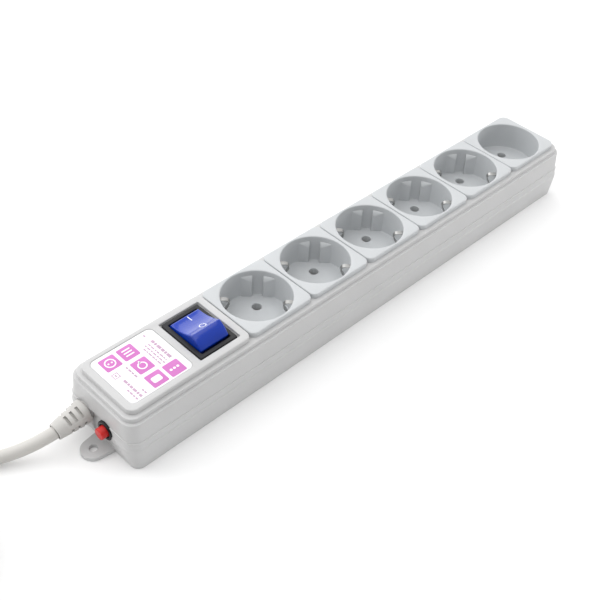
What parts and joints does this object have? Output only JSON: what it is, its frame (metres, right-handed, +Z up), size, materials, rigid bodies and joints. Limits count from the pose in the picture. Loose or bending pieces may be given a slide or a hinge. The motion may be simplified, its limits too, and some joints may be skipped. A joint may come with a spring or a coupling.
{
  "type": "power strip",
  "caption": "Long light-grey mains socket strip with round wells, a blue lit rocker switch, a red reset button, a label panel, screw ears and a grey cord with plug.",
  "frame": {"origin": "centre of the case's footprint on its underside", "axes": "+X along the strip away from the cord, +Y across it, +Z up out of the sockets"},
  "size_m": [0.5521, 0.087, 0.0588],
  "materials": {
    "shell_plastic": "fine satin moulded ABS, light cool grey, slight sheen on the rounded edges",
    "black_plastic": "black moulded nylon with a faint satin sheen",
    "blue_lens": "deep blue see-through lens plastic, polished, lilac where it catches the light",
    "red_plastic": "bright red moulded plastic, polished",
    "label_film": "white printed film with pink stepped squares and grey bars",
    "cord_pvc": "light warm grey soft PVC, satin",
    "brass": "plain stamped brass",
    "spring_metal": "nickel-plated spring strip",
    "screw_steel": "zinc-plated steel",
    "plated_pins": "bright nickel plate",
    "lamp_glass": "small clear glass bulb",
    "wire_brown": "brown PVC insulation",
    "wire_blue": "blue PVC insulation",
    "wire_green_yellow": "green and yellow PVC insulation"
  },
  "bodies": {
    "housing": {"bottom_case": "shell_plastic", "top_cover": "shell_plastic", "socket_insert_1": "shell_plastic", "socket_insert_2": "shell_plastic", "socket_insert_3": "shell_plastic", "socket_insert_4": "shell_plastic", "socket_insert_5": "shell_plastic", "socket_insert_6": "shell_plastic", "live_busbar": "brass", "neutral_busbar": "brass", "earth_busbar": "brass", "earth_spring_1": "spring_metal", "earth_spring_2": "spring_metal", "earth_spring_3": "spring_metal", "earth_spring_4": "spring_metal", "earth_spring_5": "spring_metal", "earth_rivets": "brass", "label": "label_film", "switch_frame": "black_plastic", "switch_terminals": "spring_metal", "neon_lamp": "lamp_glass", "breaker_body": "black_plastic", "breaker_collar": "black_plastic", "breaker_terminals": "spring_metal", "strain_relief": "cord_pvc", "cord_jacket_end": "cord_pvc", "cord_clamp": "shell_plastic", "clamp_screws": "screw_steel", "live_wires": "wire_brown", "neutral_wires": "wire_blue", "earth_wire": "wire_green_yellow", "case_screws": "screw_steel", "cord": "cord_pvc", "cord_coil": "cord_pvc", "cord_tail": "cord_pvc", "cord_tie": "black_plastic", "plug_body": "cord_pvc", "plug_pins": "plated_pins", "plug_earth_strips": "plated_pins"},
    "rocker": {"rocker": "blue_lens"},
    "contact_arms": {"contact_arms": "brass"},
    "reset_button": {"reset_button": "red_plastic"}
  },
  "joints": [
    {"name": "rocker_tilt", "type": "hinge", "parent": "housing", "child": "rocker", "pos_m": [-0.11255, 0, 0.0305], "axis": [1, 0, 0], "range_deg": [0, 32]},
    {"name": "arm_tilt", "type": "hinge", "parent": "housing", "child": "contact_arms", "pos_m": [-0.11255, 0, 0.018], "axis": [1, 0, 0], "range_deg": [-16, 0]},
    {"name": "reset_press", "type": "slide", "parent": "housing", "child": "reset_button", "axis": [-1, 0, 0], "range_m": [-0.002, 0.004], "stiffness_N_per_m": 150}
  ],
  "couplings": [
    {"joint": "arm_tilt", "follows": "rocker_tilt", "ratio": -0.5}
  ]
}
